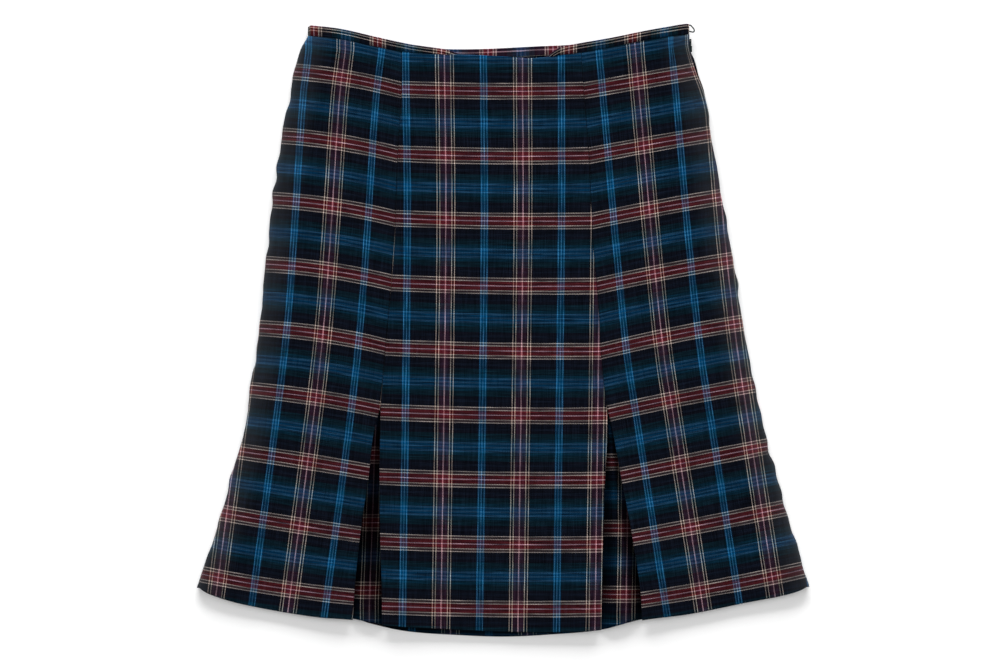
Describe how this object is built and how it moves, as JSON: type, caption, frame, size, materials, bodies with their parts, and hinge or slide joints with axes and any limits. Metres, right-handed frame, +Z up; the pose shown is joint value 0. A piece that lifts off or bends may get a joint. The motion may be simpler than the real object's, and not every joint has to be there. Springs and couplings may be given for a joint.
{
  "type": "swing skirt",
  "caption": "Knee-length flared skirt in woven check, laid flat, with front pleats over underlays, a narrow folded waistband and a side zip.",
  "frame": {"origin": "middle of the outline seen from above, on the surface that the skirt lies on", "axes": "+Z up from the surface, +Y from hem to waist, +X towards the wearer's left side; the front faces up"},
  "size_m": [0.612, 0.6123, 0.0079],
  "materials": {
    "check_cloth": "light twill-woven check, dark green and navy ground with blue, maroon and cream lines, matt",
    "zip_tape": "black woven zip tape, matt",
    "zip_teeth": "black nylon coil, satin",
    "black_metal": "black enamel, half gloss"
  },
  "bodies": {
    "skirt": {"centre_front": "check_cloth", "right_side_front": "check_cloth", "left_side_front": "check_cloth", "right_pleat_underlay": "check_cloth", "left_pleat_underlay": "check_cloth", "back": "check_cloth", "waistband": "check_cloth", "zip_tape_front": "zip_tape", "zip_tape_back": "zip_tape", "zip_chain": "zip_teeth", "zip_slider": "black_metal", "waist_eye": "black_metal", "waist_hook": "black_metal"},
    "pull_tab": {"zip_pull": "black_metal"}
  },
  "joints": [
    {"name": "pull_swing", "type": "hinge", "parent": "skirt", "child": "pull_tab", "pos_m": [0.1863, 0.2892, 0.00345], "axis": [0, 0, 1], "range_deg": [0, 130]}
  ]
}
